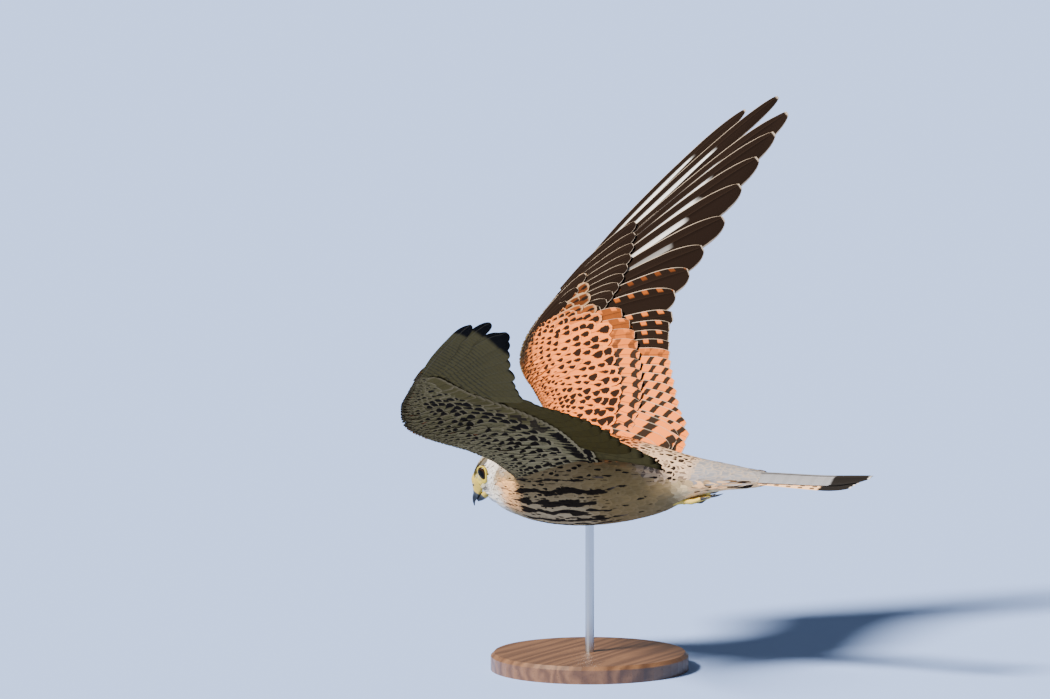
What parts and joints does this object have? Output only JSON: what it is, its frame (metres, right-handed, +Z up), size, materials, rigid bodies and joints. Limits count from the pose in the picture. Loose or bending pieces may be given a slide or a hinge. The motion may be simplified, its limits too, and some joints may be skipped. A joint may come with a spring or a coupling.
{
  "type": "common kestrel model",
  "caption": "Life-size common kestrel in flight with raised wings and closed tail, head turned and looking down, held on a rod over a flat round base.",
  "frame": {"origin": "centre of the underside of the stand's base", "axes": "+Z up; the bird faces -Y and has its left side towards +X, before it is banked"},
  "size_m": [0.4447, 0.3117, 0.3805],
  "materials": {
    "body_plumage": "matt buff feathers with dark brown streaks along the body",
    "head_plumage": "matt grey-buff feathers, finely streaked, with a pale cheek and a dark line below the eye",
    "wing_plumage": "chestnut coverts with black spots above, dark brown flight feathers with pale edges, buff-grey with dark bars below",
    "tail_plumage": "grey feathers with buff edges, a black band and a pale tip",
    "bill": "smooth dark horn with a yellow, waxy base",
    "eye": "wet, very dark brown",
    "foot_skin": "yellow scaly skin, satin",
    "claw": "black horn, satin",
    "stand_wood": "dark stained hardwood, satin varnish",
    "stand_steel": "brushed along its length"
  },
  "bodies": {
    "root": {"torso": "body_plumage", "neck": "body_plumage", "head": "head_plumage", "bill_upper": "bill", "bill_lower": "bill", "eye_left": "eye", "eye_right": "eye", "wing_left_arm": "wing_plumage", "wing_left_hand": "wing_plumage", "wing_right_arm": "wing_plumage", "wing_right_hand": "wing_plumage", "tail": "tail_plumage", "leg_left": "foot_skin", "leg_right": "foot_skin", "claw_left_1": "claw", "claw_left_2": "claw", "claw_left_3": "claw", "claw_left_4": "claw", "claw_right_1": "claw", "claw_right_2": "claw", "claw_right_3": "claw", "claw_right_4": "claw", "stand_base": "stand_wood", "stand_rod": "stand_steel"}
  },
  "joints": []
}
